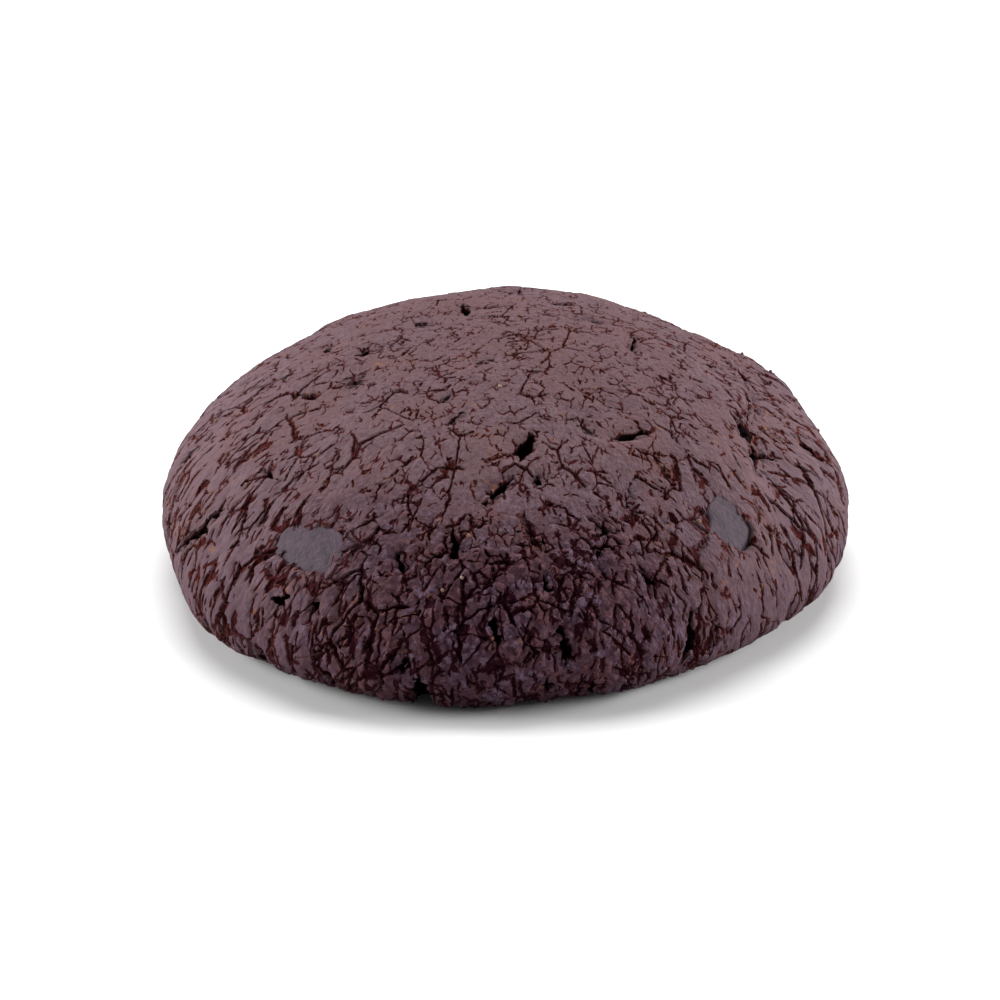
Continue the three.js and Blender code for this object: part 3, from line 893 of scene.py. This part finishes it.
def cling_to(chunk):
    """Draws the crust round a chunk in over its edge, by a little here and a lot there."""
    points = read_points(crust.data)
    chunk_points = read_points(chunk.data)
    middle = chunk_points.mean(axis=0)
    reach = np.linalg.norm(chunk_points - middle, axis=1).max() + CLING_FALLOFF
    tree = KDTree(len(chunk_points))
    for index, point in enumerate(chunk_points):
        tree.insert(point, index)
    tree.balance()
    for index in np.flatnonzero(np.linalg.norm(points - middle, axis=1) < reach):
        inwards = Vector(middle - points[index])
        inwards -= inwards.project(Vector(points[index]) + Vector((0.0, 0.0, CENTRE_DEPTH)))
        inwards.normalize()
        near = 1.0 - min(1.0, tree.find(points[index])[2] / CLING_FALLOFF)
        near *= 1.0 - float(smooth_rise(-inwards.dot(OPEN_SIDE), *OPEN_FROM_MIDDLE))
        uneven = 0.5 + noise.noise(Vector(points[index]) / CLING_SIZE)
        step = near * (CLING[0] + (CLING[1] - CLING[0]) * max(0.0, min(1.0, uneven)))
        points[index] += np.array(inwards) * step
    write_points(crust.data, points)


# %% [markdown]
# ## The chocolate's finish
#
# Chocolate that softened and set again has a satin face, a little blue-grey beside the crust, with patches of
# pale bloom. A noise mixes the two tones, and rough bloom and smoother chocolate follow it too. The side that
# sinks away gets painted shade, nearly black, for the shade in the gap between chocolate and crust.

# %% Colour the chocolate
CHOCOLATE = (0.036, 0.0225, 0.032, 1.0)
BLOOM = (0.070, 0.0450, 0.059, 1.0)
# Painted shade for the side of a chunk that sinks away.
GAP_SHADE = (0.006, 0.0032, 0.0070, 1.0)
BLOOM_SIZE = 1.6
BLOOM_EDGE = (0.30, 0.70)
BLOOM_ROUGHENS = (0.58, 0.72)
CHOCOLATE_GRAIN = 0.6
CHOCOLATE_RELIEF = 0.25 * MM


def chocolate_finish():
    finish, wires, shader = open_finish("set_chocolate")
    place = painted(wires, "chunk_place")["Vector"]
    bloom = wires.smooth(wires.noise(place, BLOOM_SIZE, 4.0, 0.6)[0], *BLOOM_EDGE)
    shade = wires.colour(bloom, CHOCOLATE, BLOOM)
    # Painted shade, nearly black, on the side that sinks away.
    shade = wires.colour(painted(wires, "gap_shade")["Fac"], shade, GAP_SHADE)
    wires.feed(shader.inputs["Base Color"], shade)
    wires.feed(shader.inputs["Roughness"], wires.smooth(bloom, 0.0, 1.0, *BLOOM_ROUGHENS))
    shader.inputs["Specular IOR Level"].default_value = 0.18
    grain = wires.noise(place, CHOCOLATE_GRAIN, 4.0, 0.6)[0]
    bump = {"Height": grain, "Strength": 0.8, "Distance": CHOCOLATE_RELIEF}
    wires.feed(shader.inputs["Normal"], wires.node("ShaderNodeBump", bump).outputs[0])
    return finish


chocolate = chocolate_finish()


def make_chunk(node_name):
    form = take_form_of(node_name, node_name.replace("chocolate_chunk", "chunk"))
    chunk = lay_skin(form, CHUNK_SQUARE, CHUNK_SMOOTHING)
    swell_chunk(chunk)
    set_level(chunk)
    cling_to(chunk)
    wear(chunk, chocolate)
    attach(chunk, "root")
    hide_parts(node_name)
    return chunk


chunks = [make_chunk(name) for name in CHUNK_NODES]
mark_dough(crust.data)
print("chunks:", [chunk.name for chunk in chunks])

# %% [markdown]
# ## Crumbs
#
# A few grains of crumb always lie on a cookie like this, most of them dark, some rust or tan. Each is a small
# ball that a noise knocks out of round, half sunk in the crust. A particle system could scatter them, but it
# isn't kept when a model is exported, so they are real grains, joined to one mesh.

# %% Scatter the crumbs
GRAIN_COUNT = 90
GRAIN_WIDTH = (0.25, 0.70)
GRAIN_SHAPE = (0.6, 1.2)
GRAIN_KNOCKS = 0.55
KNOCKS_PER_GRAIN = 1.2
NOISE_REACH = 50.0
FACING_UP = 0.35
CRUMB_SEED = 12
chance = np.random.default_rng(CRUMB_SEED)


def add_grain(form, place, width):
    start = len(form.verts)
    bmesh.ops.create_icosphere(form, subdivisions=2, radius=1.0)
    form.verts.ensure_lookup_table()
    stretch = chance.uniform(*GRAIN_SHAPE, 3)
    shift = Vector(chance.uniform(-NOISE_REACH, NOISE_REACH, 3))
    for vertex in form.verts[start:]:
        knock = GRAIN_KNOCKS * noise.noise(KNOCKS_PER_GRAIN * vertex.co + shift)
        knocked = np.array(vertex.co) * (1.0 + knock)
        vertex.co = (place + 0.5 * width * stretch * knocked) * MM
    return len(form.verts) - start


def make_crumbs():
    points, normals = read_points(crust.data), read_normals(crust.data)
    form = bmesh.new()
    tones = []
    for index in chance.choice(np.flatnonzero(normals[:, 2] > FACING_UP), GRAIN_COUNT, replace=False):
        added = add_grain(form, points[index], chance.uniform(*GRAIN_WIDTH))
        tones += [chance.random()] * added
    mesh = bpy.data.meshes.new("crumbs")
    form.to_mesh(mesh)
    form.free()
    mesh.polygons.foreach_set("use_smooth", np.ones(len(mesh.polygons), dtype=bool))
    store(mesh, "crumb_tone", np.array(tones))
    crumbs = bpy.data.objects.new("crumbs", mesh)
    scene.collection.objects.link(crumbs)
    return crumbs


# %% [markdown]
# ## The crumbs' finish
#
# Each grain broke off at another place, so each has a tone of its own. A material for each tone would work,
# but the tone is already stored on the mesh, as one number for each grain, and one material can read it.

# %% Colour the crumbs
GRAIN_DARK = (0.070, 0.034, 0.036, 1.0)
GRAIN_RUST = (0.140, 0.072, 0.056, 1.0)
GRAIN_TAN = (0.250, 0.175, 0.135, 1.0)
RUST_FROM_TONE = (0.40, 0.75)
TAN_FROM_TONE = (0.90, 0.96)


def crumb_finish():
    finish, wires, shader = open_finish("loose_crumb")
    tone = painted(wires, "crumb_tone")["Fac"]
    shade = wires.colour(wires.smooth(tone, *RUST_FROM_TONE), GRAIN_DARK, GRAIN_RUST)
    shade = wires.colour(wires.smooth(tone, *TAN_FROM_TONE), shade, GRAIN_TAN)
    wires.feed(shader.inputs["Base Color"], shade)
    shader.inputs["Roughness"].default_value = 0.8
    shader.inputs["Specular IOR Level"].default_value = 0.12
    return finish


crumbs = make_crumbs()
wear(crumbs, crumb_finish())
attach(crumbs, "root")
print("triangles in the crumbs:", len(crumbs.data.polygons))

# %% [markdown]
# ## Floor and light
#
# The cookie was shot on white under soft light from above and both sides: its rims are pale and its lower
# front is dark. One large lamp overhead, a little behind, and one low lamp at each side give that. A world
# picture could light it too, but three lamps are simpler to aim and to set against the photo.

# %% Light the cookie
FLOOR_SIZE = 3.0
FLOOR_COLOUR = (0.70, 0.70, 0.70, 1.0)
LAMPS = {
    "overhead_lamp": {"place": (0.0, 0.46, 0.88), "power": 14.8, "size": 0.8},
    "left_lamp": {"place": (-0.9, 0.06, 0.32), "power": 15.0, "size": 0.5},
    "right_lamp": {"place": (0.9, 0.06, 0.32), "power": 14.4, "size": 0.5},
}
ROOM_LIGHT = 0.14


def make_floor():
    form = bmesh.new()
    bmesh.ops.create_grid(form, x_segments=1, y_segments=1, size=FLOOR_SIZE / 2)
    mesh = bpy.data.meshes.new("floor")
    form.to_mesh(mesh)
    form.free()
    floor = bpy.data.objects.new("floor", mesh)
    scene.collection.objects.link(floor)
    finish, wires, shader = open_finish("pale_floor")
    shader.inputs["Base Color"].default_value = FLOOR_COLOUR
    shader.inputs["Roughness"].default_value = 0.9
    shader.inputs["Specular IOR Level"].default_value = 0.1
    wear(floor, finish)


def make_lamp(name, place, power, size):
    light = bpy.data.lights.new(name, "AREA")
    light.energy = power
    light.size = size
    lamp = bpy.data.objects.new(name, light)
    lamp.location = place
    lamp.rotation_euler = (AIM_POINT - lamp.location).to_track_quat("-Z", "Y").to_euler()
    scene.collection.objects.link(lamp)


def make_room_light(strength):
    world = bpy.data.worlds.new("room")
    world.use_nodes = True
    background = world.node_tree.nodes["Background"]
    background.inputs["Color"].default_value = (1.0, 1.0, 1.0, 1.0)
    background.inputs["Strength"].default_value = strength
    scene.world = world


make_floor()
for lamp_name, lamp_form in LAMPS.items():
    make_lamp(lamp_name, **lamp_form)
make_room_light(ROOM_LIGHT)
scene.view_settings.view_transform = "Standard"
print("lamps, W:", {lamp_name: lamp_form["power"] for lamp_name, lamp_form in LAMPS.items()})
